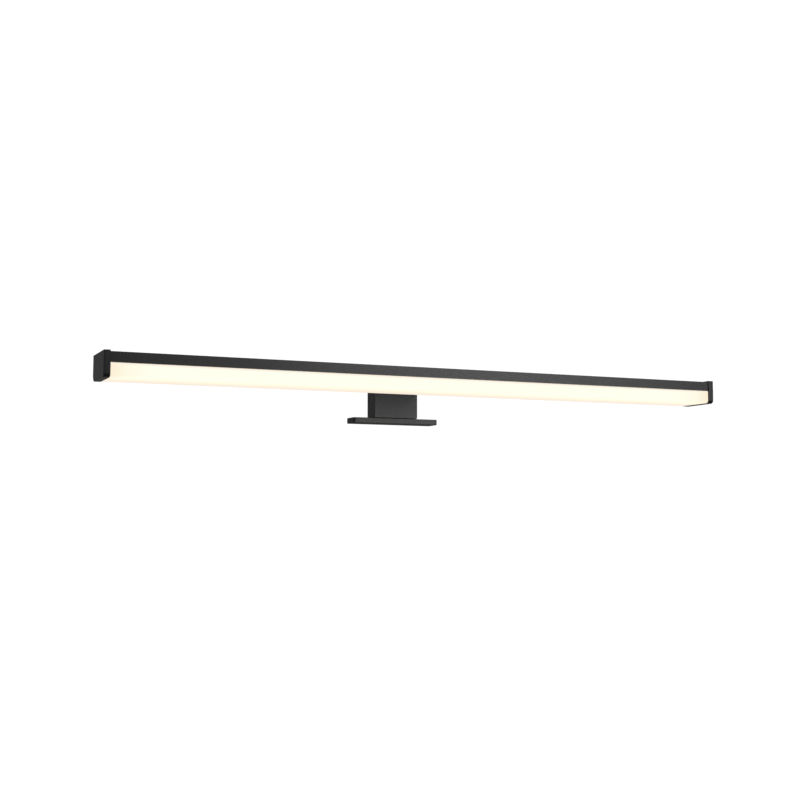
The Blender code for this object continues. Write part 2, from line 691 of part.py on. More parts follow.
def make_driver():
    """Insulating base with ears, circuit board and cover, one above the other on the tray."""
    half = DRIVER_LENGTH / 2
    low_y, high_y = DRIVER_MIDDLE - DRIVER_WIDTH / 2, DRIVER_MIDDLE + DRIVER_WIDTH / 2
    base_low = TRAY_TOP + GAP
    base_height, port_room = 0.0022, 0.0005
    base_top = base_low + base_height
    floor = base_low + DRIVER_WALL
    cover_low, cover_top = base_top + GAP, CHAMBER_TOP - GAP

    base = block(
        "driver_base", (DRIVER_X - half, low_y, base_low), (DRIVER_X + half, high_y, base_top)
    )
    ears = block(
        "driver_base_ears",
        (DRIVER_X - half - DRIVER_EAR, low_y + SINK, base_low + SINK / 2),
        (DRIVER_X + half + DRIVER_EAR, high_y - SINK, floor - SINK / 2),
    )
    inside = (half - DRIVER_WALL, DRIVER_WIDTH / 2 - DRIVER_WALL)
    well = block(
        "driver_base_well",
        (DRIVER_X - inside[0], DRIVER_MIDDLE - inside[1], floor),
        (DRIVER_X + inside[0], DRIVER_MIDDLE + inside[1], base_top + THROUGH),
    )
    paint(cut(join(base, ears), well), DRIVER_PLASTIC)

    board_low = floor + GAP
    board_top = board_low + BOARD_THICKNESS
    board = block(
        "driver_board",
        (DRIVER_X - inside[0] + GAP, DRIVER_MIDDLE - inside[1] + GAP, board_low),
        (DRIVER_X + inside[0] - GAP, DRIVER_MIDDLE + inside[1] - GAP, board_top),
    )
    # along the driver from its centre, across from its middle, length, width, height
    fitted = (
        (0.048, 0.000, 0.0080, 0.0120, 0.0012),
        (0.034, 0.000, 0.0120, 0.0160, 0.0032),
        (0.018, 0.004, 0.0140, 0.0070, 0.0031),
        (0.018, -0.005, 0.0060, 0.0060, 0.0018),
        (-0.003, 0.000, 0.0150, 0.0160, 0.0032),
        (-0.020, 0.005, 0.0060, 0.0050, 0.0015),
        (-0.032, -0.003, 0.0120, 0.0080, 0.0030),
        (-0.048, 0.002, 0.0060, 0.0100, 0.0012),
    )
    components = []
    for along, across, length, width, height in fitted:
        x, y = DRIVER_X + along, DRIVER_MIDDLE + across
        low = (x - length / 2, y - width / 2, board_top - SINK)
        high = (x + length / 2, y + width / 2, board_top + height)
        components.append((low, high))
    join(board, place("driver_components", boxes("driver_components", components)))
    paint(board, CIRCUIT_GREEN)

    cover = block(
        "driver_cover", (DRIVER_X - half, low_y, cover_low), (DRIVER_X + half, high_y, cover_top)
    )
    hollow = block(
        "driver_cover_hollow",
        (DRIVER_X - inside[0], DRIVER_MIDDLE - inside[1], cover_low - THROUGH),
        (DRIVER_X + inside[0], DRIVER_MIDDLE + inside[1], cover_top - DRIVER_WALL),
    )
    cut(cover, hollow)
    for label, side, radius in (("mains", 1, LEAD_RADIUS), ("led", -1, LED_LEAD_RADIUS)):
        x = DRIVER_X + side * half
        for y in DRIVER_PORTS[label]:
            ends = (x - THROUGH, y, DRIVER_LEAD_LIFT), (x + THROUGH, y, DRIVER_LEAD_LIFT)
            cut(cover, rod(f"driver_port_{label}_{y:.4f}", *ends, radius + port_room, sides=12))
    paint(cover, DRIVER_PLASTIC)


def make_led_leads():
    """From the driver's far end, down through the tray, to pads beside the left board's lead hole."""
    start_x = DRIVER_X - DRIVER_LENGTH / 2
    below = BOARD_LOW - GAP - LED_LEAD_RADIUS
    for name, y, shift, material in (
        ("led_lead_positive", DRIVER_PORTS["led"][0], -0.0009, LEAD_RED),
        ("led_lead_negative", DRIVER_PORTS["led"][1], 0.0009, LEAD_BLACK),
    ):
        hole_y = LED_LEAD_Y + shift
        route = (
            (start_x + 0.0035, y, DRIVER_LEAD_LIFT),
            (start_x - 0.0020, y, DRIVER_LEAD_LIFT),
            (start_x - 0.0085, (y + hole_y) / 2, DRIVER_LEAD_LIFT),
            (LED_LEAD_X + 0.0022, hole_y, DRIVER_LEAD_LIFT - 0.0012),
            (LED_LEAD_X, hole_y, TRAY_TOP + 0.0008),
            (LED_LEAD_X, hole_y, BOARD_LOW + 0.0004),
            (LED_LEAD_X + 0.0010, hole_y, below),
            (LED_LEAD_X + 0.0040, hole_y + shift, below),
        )
        lead(name, route, LED_LEAD_RADIUS, material)


def make_nut_plate(name, side):
    """Threaded steel plate behind the profile's rear wall."""
    low_z, high_z = SLOT_HIGH + LIP + GAP, CHAMBER_TOP - GAP
    half_width, back = 0.0055, INNER_REAR - GAP
    front = back - 0.0025
    x, z = side * NECK_SCREW_X, section_z(NECK_SCREW_Z)
    plate = block(name, (x - half_width, front, low_z), (x + half_width, back, high_z))
    cut(plate, rod(name + "_thread", (x, front - THROUGH, z), (x, back + THROUGH, z), M3 + GAP))
    paint(plate, ZINC)


# ---------------------------------------------------------------- pieces of the neck
def make_lead_bush():
    """Oval sleeve through the profile's wall, the gasket and the neck's flange."""
    half_width, half_height, bush_wall = 0.0055, 0.0028, 0.0010
    collar_rear = PROFILE_REAR_Y - WALL - GAP
    collar_front = collar_rear - BUSH_COLLAR
    sleeve_rear = ARM_FRONT_Y + FLANGE - SINK
    sleeve = lead_port("lead_bush", collar_front + SINK, sleeve_rear, grow=-GAP)
    corner = (half_width, half_height)
    outline = rectangle((-half_width, -half_height), corner, half_height - SINK, steps=5)
    middle = (0.0, (collar_front + collar_rear) / 2, LEAD_PORT_Z)
    join(sleeve, prism("lead_bush_collar", outline, BUSH_COLLAR, middle, "Y"))
    bore = lead_port("lead_bush_bore", collar_front - THROUGH, sleeve_rear + THROUGH, grow=-bush_wall)
    cut(sleeve, bore)
    paint(sleeve, RUBBER)


def make_neck_gasket():
    screw_room = 0.0005
    outline = rectangle(GASKET_LOW, GASKET_HIGH, 0.0015)
    middle = PROFILE_REAR_Y + GAP + GASKET_THICKNESS / 2
    gasket = prism("neck_gasket", outline, GASKET_THICKNESS, (0.0, middle, 0.0), "Y")
    ends = (middle - THROUGH, middle + THROUGH)
    cut(gasket, lead_port("gasket_lead_port", *ends))
    for side, label in SIDE_NAMES.items():
        x = side * NECK_SCREW_X
        hole = (x, ends[0], NECK_SCREW_Z), (x, ends[1], NECK_SCREW_Z)
        cut(gasket, rod(f"gasket_hole_{label}", *hole, M3 + screw_room))
    paint(gasket, RUBBER)


def make_neck_housing():
    """Hollow L: the box that stands on the foot, and the arm that reaches forward to the bar."""
    outline = rounded(
        [
            (ARM_FRONT_Y, ARM_BOTTOM, 0),
            (FRONT_PLANE, ARM_BOTTOM, 0.0020),
            (FRONT_PLANE, NECK_BOTTOM, 0),
            (BOX_REAR, NECK_BOTTOM, 0),
            (BOX_REAR, NECK_TOP, 0),
            (ARM_FRONT_Y, NECK_TOP, 0),
        ]
    )
    neck = round_edges(prism("neck_housing", outline, BOX_WIDTH, (0.0, 0.0, 0.0), "X"), NECK_EDGE)
    inside = [
        (ARM_FRONT_Y + FLANGE, ARM_BOTTOM + NECK_WALL),
        (INSIDE_FRONT, ARM_BOTTOM + NECK_WALL),
        (INSIDE_FRONT, INSIDE_FLOOR),
        (BOX_REAR + THROUGH, INSIDE_FLOOR),
        (BOX_REAR + THROUGH, INSIDE_TOP),
        (ARM_FRONT_Y + FLANGE, INSIDE_TOP),
    ]
    cut(neck, prism("neck_hollow", inside, 2 * INSIDE_X, (0.0, 0.0, 0.0), "X"))

    drills = []
    flange = (ARM_FRONT_Y - THROUGH, ARM_FRONT_Y + FLANGE + THROUGH)
    foot_boss_low, foot_boss_top, foot_boss_radius = INSIDE_FLOOR - BOX_FLOOR / 2, 0.0130, 0.0032
    cover_boss_root = INSIDE_FRONT - BOX_FRONT_WALL / 2
    cover_boss_radius, cover_drill_depth = 0.0027, 0.0075
    for side, label in SIDE_NAMES.items():
        x, z = side * COVER_SCREW[0], COVER_SCREW[1]
        boss = (x, cover_boss_root, z), (x, COVER_FRONT - GAP, z)
        join(neck, rod(f"cover_boss_{label}", *boss, cover_boss_radius))
        drill = (x, COVER_FRONT - GAP - cover_drill_depth, z), (x, COVER_FRONT + THROUGH, z)
        drills.append(rod(f"cover_boss_drill_{label}", *drill, M3 + GAP))
        x = side * FOOT_SCREW_X
        boss = (x, 0, foot_boss_low), (x, 0, foot_boss_top)
        join(neck, rod(f"foot_boss_{label}", *boss, foot_boss_radius))
        drill = (x, 0, NECK_BOTTOM - THROUGH), (x, 0, foot_boss_top + THROUGH)
        drills.append(rod(f"foot_boss_drill_{label}", *drill, M3 + GAP))
        x = side * NECK_SCREW_X
        drill = (x, flange[0], NECK_SCREW_Z), (x, flange[1], NECK_SCREW_Z)
        drills.append(rod(f"flange_drill_{label}", *drill, M3 + GAP))
    drills.append(lead_port("neck_lead_port", *flange))
    cut(neck, *drills)
    paint(neck, BLACK_COAT)


def make_neck_screws():
    seat_y = ARM_FRONT_Y + FLANGE + GAP
    length, head, height = 0.0115, 0.00275, 0.0030
    for side, label in SIDE_NAMES.items():
        seat = (side * NECK_SCREW_X, seat_y, NECK_SCREW_Z)
        screw(f"neck_screw_{label}", seat, (0, 1, 0), length, M3, head, height, "hex", ZINC)


def countersink(name, centre, direction, shank, head, depth, reach):
    """Cutter for a countersunk hole: its mouth is at the centre and faces the direction."""
    profile = [
        (0.0, THROUGH), (head, THROUGH), (head, 0.0), (shank, -depth), (shank, -reach), (0.0, -reach),
    ]
    return turned(name, profile, centre, direction)


def make_rear_cover():
    outline = rectangle(
        (-INSIDE_X + GAP, INSIDE_FLOOR + GAP), (INSIDE_X - GAP, INSIDE_TOP - GAP), 0.0008, steps=2
    )
    middle = (0.0, (COVER_FRONT + BOX_REAR) / 2, 0.0)
    cover = prism("rear_cover", outline, COVER_THICKNESS, middle, "Y")
    inlet = rod(
        "cover_inlet", (0, COVER_FRONT - THROUGH, INLET_Z), (0, BOX_REAR + THROUGH, INLET_Z), INLET_RADIUS
    )
    cut(cover, inlet)
    head, depth = 0.0033, 0.0019
    for side, label in SIDE_NAMES.items():
        mouth = (side * COVER_SCREW[0], BOX_REAR, COVER_SCREW[1])
        reach = COVER_THICKNESS + THROUGH
        cut(cover, countersink(f"cover_sink_{label}", mouth, (0, 1, 0), M3 + GAP, head, depth, reach))
    paint(cover, BLACK_PLASTIC)


def make_cover_screws():
    length, head, height = 0.0080, 0.0027, 0.0013
    for side, label in SIDE_NAMES.items():
        name, seat = f"cover_screw_{label}", (side * COVER_SCREW[0], BOX_REAR - GAP, COVER_SCREW[1])
        screw(name, seat, (0, 1, 0), length, M3, head, height, "cross", BLACK_STEEL, sunk=True)


def make_cable_grommet():
    """Rubber ring that grips the edge of the cover's inlet."""
    bore, neck, collar, lip = 0.0032, INLET_RADIUS - GAP, 0.0059, 0.0010
    inner_face, outer_face = -COVER_THICKNESS - GAP, GAP
    chamfer = 0.0003
    profile = [
        (bore, outer_face + lip),
        (collar - chamfer, outer_face + lip),
        (collar, outer_face + lip - chamfer),
        (collar, outer_face),
        (neck, outer_face),
        (neck, inner_face),
        (collar, inner_face),
        (collar, inner_face - lip),
        (bore, inner_face - lip),
    ]
    grommet = turned("cable_grommet", profile, (0, BOX_REAR, INLET_Z), (0, 1, 0), closed=True)
    paint(grommet, RUBBER)


# ---------------------------------------------------------------- terminal block
def make_terminal_block():
    """Two-pole block: plastic body, brass inserts, clamping screws and one fixing screw."""
    body = block(
        "terminal_block", (-BLOCK_HALF, BLOCK_FRONT, BLOCK_LOW), (BLOCK_HALF, BLOCK_REAR, BLOCK_HIGH)
    )
    channel = INSERT_HALF + GAP
    length, head, height, seat_y = 0.0027, 0.0016, 0.0014, 0.0010
    number = 0
    for side, pole in ((-1, "live"), (1, "neutral")):
        x = side * POLE_X
        cut(
            body,
            block(
                f"channel_{pole}",
                (x - channel, INSERT_Y - channel, BLOCK_LOW - THROUGH),
                (x + channel, INSERT_Y + channel, BLOCK_HIGH + THROUGH),
            ),
        )
        insert = block(
            f"terminal_insert_{pole}",
            (x - INSERT_HALF, INSERT_Y - INSERT_HALF, BLOCK_LOW + INSERT_INSET),
            (x + INSERT_HALF, INSERT_Y + INSERT_HALF, BLOCK_HIGH - INSERT_INSET),
        )
        bore = (x, INSERT_Y, BLOCK_LOW - THROUGH), (x, INSERT_Y, BLOCK_HIGH + THROUGH)
        cut(insert, rod(f"wire_bore_{pole}", *bore, WIRE_BORE))
        for z in CLAMPING_Z:
            number += 1
            chimney = (x, INSERT_Y + INSERT_HALF / 2, z), (x, BLOCK_REAR + THROUGH, z)
            cut(body, rod(f"chimney_{number}", *chimney, CHIMNEY_RADIUS))
            cut(insert, rod(f"thread_{number}", (x, INSERT_Y, z), (x, BLOCK_REAR, z), M25 + GAP))
            name, seat = f"terminal_screw_{number}", (x, seat_y, z)
            screw(name, seat, (0, 1, 0), length, M25, head, height, "slot", ZINC)
        paint(insert, BRASS)
    fixing = (0, BLOCK_FRONT - THROUGH, BLOCK_MIDDLE_Z), (0, BLOCK_REAR + THROUGH, BLOCK_MIDDLE_Z)
    cut(body, rod("block_fixing_hole", *fixing, M25 + GAP))
    paint(body, TERMINAL_PLASTIC)


def make_mains_leads():
    """From the terminal block, forward through the arm and the bush, then left to the driver."""
    end_x = DRIVER_X + DRIVER_LENGTH / 2
    high = PROFILE_BOTTOM_Z + DRIVER_LEAD_LIFT
    for name, side, port_y, bend, material in (
        ("live_lead", -1, DRIVER_PORTS["mains"][0], 0.0, LEAD_BROWN),
        ("neutral_lead", 1, DRIVER_PORTS["mains"][1], 0.0034, LEAD_BLUE),
    ):
        port_y += PROFILE_FRONT_Y
        in_port = side * 0.0017
        route = (
            (side * POLE_X, INSERT_Y, BLOCK_HIGH - 0.0055),
            (side * POLE_X, INSERT_Y, BLOCK_HIGH - 0.0005),
            (side * (POLE_X - 0.0003), INSERT_Y - 0.0016, LEAD_PORT_Z - 0.0002),
            (side * (POLE_X - 0.0010), INSERT_Y - 0.0060, LEAD_PORT_Z + 0.0003),
            (side * 0.0030, -0.0200, LEAD_PORT_Z),
            (side * 0.0021, -0.0450, LEAD_PORT_Z),
            (in_port, ARM_FRONT_Y + FLANGE + 0.0005, LEAD_PORT_Z),
            (in_port, PROFILE_REAR_Y - 0.0040, LEAD_PORT_Z),
            (in_port - 0.0030, PROFILE_REAR_Y - 0.0098 - bend, LEAD_PORT_Z + 0.0002),
            (in_port - 0.0130, PROFILE_REAR_Y - 0.0155 - bend, high),
            (end_x + 0.0160, port_y + 0.0012, high),
            (end_x + 0.0030, port_y, high),
            (end_x - 0.0040, port_y, high),
        )
        lead(name, route, LEAD_RADIUS, material)


def make_block_screw():
    seat, length = (0.0, BLOCK_REAR + GAP, BLOCK_MIDDLE_Z), BLOCK_REAR - BLOCK_FRONT
    head, height = 0.0021, 0.0014
    screw("block_screw", seat, (0, 1, 0), length, M25, head, height, "slot", ZINC)


# ---------------------------------------------------------------- foot
def make_foot_plate():
    """Flange with two countersunk fixing holes in its ears and two screws up into the box."""
    half_x, half_y = FOOT_WIDTH / 2, FOOT_DEPTH / 2
    outline = rectangle((-half_x, -half_y), (half_x, half_y), FOOT_CORNER, steps=4)
    foot = prism("foot_plate", outline, FOOT_THICKNESS, (0.0, 0.0, FOOT_THICKNESS / 2), "Z")
    round_edges(foot, EDGE_RADIUS, segments=1)
    reach = FOOT_THICKNESS + THROUGH
    fixing_hole, fixing_head, foot_screw_head, sink_depth = 0.0023, 0.0044, 0.0036, 0.0021
    for side, label in SIDE_NAMES.items():
        top = (side * FIXING_X, 0.0, FOOT_THICKNESS)
        under = (side * FOOT_SCREW_X, 0.0, 0.0)
        sizes = fixing_hole, fixing_head, sink_depth, reach
        cut(foot, countersink(f"fixing_sink_{label}", top, (0, 0, 1), *sizes))
        sizes = M3 + GAP, foot_screw_head, sink_depth, reach
        cut(foot, countersink(f"foot_sink_{label}", under, (0, 0, -1), *sizes))
    paint(foot, BLACK_COAT)


def make_foot_screws():
    length, head, height, sunk_by = 0.0115, 0.0029, 0.0015, 0.0004
    for side, label in SIDE_NAMES.items():
        seat = (side * FOOT_SCREW_X, 0.0, sunk_by)
        screw(f"foot_screw_{label}", seat, (0, 0, -1), length, M3, head, height, "cross", ZINC, sunk=True)


# ---------------------------------------------------------------- build
clear_scene()
PARTS = new_collection("mirror_light_bar")
CUTTERS = new_collection("cutters")
ASSEMBLY = {"current": None}

BLACK_COAT = new_material("black_coat", (0.030, 0.030, 0.031), 0.50, 0.2)
BLACK_PLASTIC = new_material("black_plastic", (0.034, 0.035, 0.036), 0.55)
BLACK_STEEL = new_material("black_steel", (0.025, 0.025, 0.026), 0.40, 0.7)
OPAL = new_material("opal_diffuser", (1.0, 0.95, 0.80), 0.45, glow=3.0)
WHITE_STEEL = new_material("white_tray", (0.80, 0.80, 0.78), 0.50)
BOARD_WHITE = new_material("led_board", (0.85, 0.85, 0.80), 0.40)
CIRCUIT_GREEN = new_material("circuit_board", (0.03, 0.16, 0.06), 0.45)
DRIVER_PLASTIC = new_material("driver_plastic", (0.62, 0.62, 0.60), 0.50)
CONNECTOR_PLASTIC = new_material("connector_plastic", (0.70, 0.68, 0.62), 0.50)
TERMINAL_PLASTIC = new_material("terminal_plastic", (0.72, 0.71, 0.66), 0.45)
RUBBER = new_material("black_rubber", (0.020, 0.020, 0.020), 0.80)
ZINC = new_material("zinc_screws", (0.60, 0.61, 0.62), 0.35, 1.0)
BRASS = new_material("brass", (0.62, 0.47, 0.20), 0.30, 1.0)
LEAD_BROWN = new_material("brown_lead", (0.13, 0.05, 0.02), 0.50)
LEAD_BLUE = new_material("blue_lead", (0.02, 0.09, 0.33), 0.50)
LEAD_RED = new_material("red_lead", (0.40, 0.02, 0.02), 0.50)
LEAD_BLACK = new_material("black_lead", (0.02, 0.02, 0.02), 0.50)

assembly("bar_assembly", (0.0, PROFILE_FRONT_Y, PROFILE_BOTTOM_Z))
make_housing()
make_diffuser()
for side_sign, side_name in SIDE_NAMES.items():
    make_end_cap(f"end_cap_{side_name}", side_sign)
    make_end_seal(f"end_seal_{side_name}", side_sign)
make_gear_tray()
for side_sign, side_name in SIDE_NAMES.items():
    make_led_board(f"led_board_{side_name}", side_sign)
make_board_connector()
make_board_screws()
make_driver()
make_led_leads()
for side_sign, side_name in SIDE_NAMES.items():
    make_nut_plate(f"nut_plate_{side_name}", side_sign)

assembly("neck_assembly")
make_lead_bush()
make_neck_gasket()
make_neck_housing()
make_neck_screws()
make_rear_cover()
make_cover_screws()
make_cable_grommet()
make_terminal_block()
make_block_screw()
make_mains_leads()

assembly("foot_assembly")
make_foot_plate()
make_foot_screws()
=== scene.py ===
"""Looks of a slim black LED mirror light: finishes, fine detail, camera and a soft white studio.

Metres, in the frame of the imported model: the origin is the centre of the foot's underside, X runs
along the bar, the bar's front faces -Y and Z points up.
"""

import math

import bmesh
import bpy
from mathutils import Euler, Matrix, Vector


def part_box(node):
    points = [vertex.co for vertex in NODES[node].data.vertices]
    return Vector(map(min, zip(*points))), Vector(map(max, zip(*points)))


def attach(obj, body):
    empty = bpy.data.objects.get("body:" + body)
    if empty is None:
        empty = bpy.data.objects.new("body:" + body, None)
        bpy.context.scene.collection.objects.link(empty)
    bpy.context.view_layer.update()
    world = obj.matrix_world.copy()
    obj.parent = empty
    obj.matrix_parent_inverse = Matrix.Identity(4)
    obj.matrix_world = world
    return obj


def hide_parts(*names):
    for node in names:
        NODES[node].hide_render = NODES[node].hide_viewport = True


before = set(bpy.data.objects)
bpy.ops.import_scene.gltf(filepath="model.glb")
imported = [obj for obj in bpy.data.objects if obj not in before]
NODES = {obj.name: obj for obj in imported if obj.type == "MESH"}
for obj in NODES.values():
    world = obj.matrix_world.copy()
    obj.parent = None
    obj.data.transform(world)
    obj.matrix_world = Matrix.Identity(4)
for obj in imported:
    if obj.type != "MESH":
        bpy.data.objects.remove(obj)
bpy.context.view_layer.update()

# ---------------------------------------------------------------- places read from the frame
PROFILE_LOW, PROFILE_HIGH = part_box("housing_profile")
GLOW_LOW, GLOW_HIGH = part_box("diffuser")
LED_BOARD_LOW, LED_BOARD_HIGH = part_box("led_board_right")
CIRCUIT_LOW, CIRCUIT_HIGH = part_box("driver_board")
GROMMET_LOW, GROMMET_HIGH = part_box("cable_grommet")

# ---------------------------------------------------------------- camera and studio
CAMERA_PLACE = Vector((-0.4974, -1.1351, -0.0889))
CAMERA_TURN = (95.20, 0.0, -24.01)  # degrees
LENS_MM = 57.57
SENSOR_MM = 36.0
FLOOR_DROP = 1.20  # floor below the foot, so that it stays under the view
FLOOR_RADIUS = 2.6
WHITE = (1.0, 1.0, 1.0)
BACKDROP = 1.05  # what the camera sees behind the object
AMBIENT_FRONT = 0.035  # what lights the object from the front and from behind
AMBIENT_BACK = 0.195
AMBIENT_BLEND = 0.6  # how far to the front and to the back the two blend, as a direction's Y
FLOOR_GLOW = 0.35
SOFTBOX_AIM_X = 0.07
SOFTBOX_AZIMUTH, SOFTBOX_ELEVATION, SOFTBOX_REACH = 27.5, 12.0, 2.2
SOFTBOX_SIZE = (0.55, 2.3)
SOFTBOX_POWER = 24.5
OVERHEAD_POWER = 2.4
OVERHEAD_SPREAD = 100.0
FILL_FROM = (0.45, -1.0, -0.36)  # low in front, under the bar, to where the softbox does not reach
FILL_POWER = 0.88
FILL_SPREAD = 30.0

# ---------------------------------------------------------------- the lit cover, linear colours
STRIP_HEIGHT = 0.0117  # of the cover's front strip, from its underside to the black band
GLOW_FRONT = (0.965, 0.97, 0.83)
GLOW_LEG = (0.93, 0.88, 0.69)
GLOW_NEAR_END = (0.955, 0.905, 0.72)
GLOW_END = (0.95, 0.835, 0.66)
GLOW_UNDER_BAND = (0.93, 0.84, 0.72)
GLOW_REAR = (0.88, 0.75, 0.62)

NEAR_END_REACH = 0.040  # how far in from the cover's ends each warmer tone fades
END_REACH = 0.014
UNDER_BAND_FADE = (0.0022, 0.0004)  # start and end of the fade, below the band's edge
REAR_FADE = (0.0300, 0.0080)  # start and end of the fade, in front of the cover's rear end
LEG_FADE = (0.0006, 0.0040)  # start and end of the fade, behind the cover's front
CUT_END_NORMAL = 0.9  # a face whose normal has more X than this is a cut end

# ---------------------------------------------------------------- shading of the meshes
WELD_DISTANCE = 0.000001
EDGE_SOFTNESS = 0.00012
BEVELLED_ANGLE = 50.0  # degrees between the faces of an edge
SMOOTHED_ANGLE = 36.0
LATHED_SMOOTH_ANGLE = 40.0

# ---------------------------------------------------------------- printed and fitted details
LED_FIRST_EDGE = 0.0015  # inner end of each LED board, from the middle of the bar
LED_COUNT = 36
LED_ROW = 0.0220  # behind the profile's front
LED_HEIGHT = 0.0008
PHOSPHOR_RADIUS = 0.00115
PAD_OFFSET, PAD_HALF_WIDTH, PAD_HALF_DEPTH = 0.0020, 0.0004, 0.0013  # from each LED's middle
TRACK_OFFSET, TRACK_HALF_WIDTH = 0.0052, 0.0016  # from the row of LEDs
CIRCUIT_THICKNESS = 0.0012
# Each component on the driver's board: middle along the board, half length, colour
COMPONENTS = (
    (0.048, 0.0042, (0.60, 0.42, 0.05)),
    (0.034, 0.0062, (0.015, 0.015, 0.017)),
    (0.018, 0.0072, (0.02, 0.05, 0.16)),
    (-0.003, 0.0077, (0.55, 0.38, 0.04)),
    (-0.020, 0.0032, (0.015, 0.015, 0.015)),
    (-0.032, 0.0062, (0.03, 0.03, 0.035)),
    (-0.048, 0.0032, (0.62, 0.60, 0.52)),
)
GROMMET_BORE = 0.0032  # radius
GROMMET_WAIST = 0.0043  # radius between the lips
GROMMET_LIP = 0.0010
GROMMET_BORE_EDGE = 0.0003  # radius of the bore's rounded edges


# ---------------------------------------------------------------- node helpers
class Look:
    """A new material, with short calls for its nodes."""

    def __init__(self, name):
        self.material = bpy.data.materials.new(name)
        self.material.use_nodes = True
        self.tree = self.material.node_tree
        self.shader = self.tree.nodes["Principled BSDF"]

    def node(self, kind, settings=(), **inputs):
        made = self.tree.nodes.new(kind)
        for key, value in dict(settings).items():
            setattr(made, key, value)
        for key, value in inputs.items():
            self.feed(made.inputs[key.replace("_", " ")], value)
        return made

    def feed(self, socket, value):
        if isinstance(value, bpy.types.NodeSocket):
            self.tree.links.new(value, socket)
        elif hasattr(socket.default_value, "__len__") and len(socket.default_value) == 4:
            socket.default_value = (*value, 1.0) if len(value) == 3 else value
        else:
            socket.default_value = value

    def set(self, **inputs):
        for key, value in inputs.items():
            self.feed(self.shader.inputs[key.replace("_", " ")], value)
        return self

    def place(self):
        """Object coordinates, which are the row frame's metres on every CAD node."""
        return self.node("ShaderNodeTexCoord").outputs["Object"]

    def axis(self, letter):
        split = self.node("ShaderNodeSeparateXYZ", Vector=self.place())
        return split.outputs[letter]

    def noise(self, size, detail=2.0, roughness=0.5, stretch=None):
        """Noise whose features are about this size in metres."""
        where = self.place()
        if stretch:
            where = self.node("ShaderNodeMapping", Vector=where, Scale=stretch).outputs[0]
        made = self.node("ShaderNodeTexNoise", Vector=where, Scale=1 / size, Detail=detail)
        made.inputs["Roughness"].default_value = roughness
        return made.outputs["Fac"]

    def cells(self, size):
        """Distance to the nearest wall of irregular cells of about this size."""
        settings = {"feature": "DISTANCE_TO_EDGE"}
        made = self.node("ShaderNodeTexVoronoi", settings, Vector=self.place(), Scale=1 / size)
        return made.outputs["Distance"]

    def span(self, value, low, high, to_low=0.0, to_high=1.0, smooth=False):
        kind = "SMOOTHSTEP" if smooth else "LINEAR"
        made = self.node("ShaderNodeMapRange", {"interpolation_type": kind})
        names = ("Value", "From Min", "From Max", "To Min", "To Max")
        for key, number in zip(names, (value, low, high, to_low, to_high)):
            self.feed(made.inputs[key], number)
        return made.outputs["Result"]

    def math(self, operation, *values):
        made = self.node("ShaderNodeMath", {"operation": operation})
        for socket, value in zip(made.inputs, values):
            self.feed(socket, value)
        return made.outputs[0]

    def away(self, value, middle):
        """Distance of a value from a number."""
        return self.math("ABSOLUTE", self.math("SUBTRACT", value, middle))

    def blend(self, factor, first, second):
        made = self.node("ShaderNodeMix", {"data_type": "RGBA"})
        self.feed(made.inputs[0], factor)
        self.feed(made.inputs[6], first)
        self.feed(made.inputs[7], second)
        return made.outputs[2]

    def bump(self, height, depth, strength=1.0, under=None):
        made = self.node("ShaderNodeBump", Height=height, Distance=depth, Strength=strength)
        if under is not None:
            self.feed(made.inputs["Normal"], under)
        return made.outputs["Normal"]


def shade(colour, factor):
    return tuple(part * factor for part in colour)


# ---------------------------------------------------------------- finishes
def powder_coat(name, dark, light, smooth_at, rough_at):
    """Satin powder coat: orange peel, a finer grain and a slight change of tone."""
    look = Look(name)
    cloudy = look.noise(0.030, 3.0)
    grain = look.noise(0.00022, 2.0, 0.6)
    peel = look.noise(0.0011, 1.0)
    tone = look.blend(look.span(cloudy, 0.35, 0.65), dark, light)
    specks = look.span(grain, 0.62, 0.75, 0.0, 0.5)
    rough = look.span(grain, 0.3, 0.7, smooth_at, rough_at)
    rough = look.math("ADD", rough, look.span(peel, 0.3, 0.7, -0.02, 0.02))
    fine = look.bump(grain, 0.00002, 0.35)
    brighter = tuple(min(2.0 * part, 0.9) for part in light)
    look.set(Base_Color=look.blend(specks, tone, brighter), Roughness=rough)
    look.set(Normal=look.bump(peel, 0.00006, 0.30, fine))
    return look.material


def moulded(name, dark, light, smooth_at=0.44, rough_at=0.56):
    """Moulded plastic with faint flow marks and a fine spark-eroded texture."""
    look = Look(name)
    flow = look.noise(0.012, 2.0, stretch=(1.0, 0.35, 1.0))
    grain = look.noise(0.00030, 2.0, 0.55)
    look.set(Base_Color=look.blend(look.span(flow, 0.35, 0.65), dark, light))
    look.set(Roughness=look.span(grain, 0.3, 0.7, smooth_at, rough_at))
    look.set(Normal=look.bump(grain, 0.00004, 0.35))
    return look.material


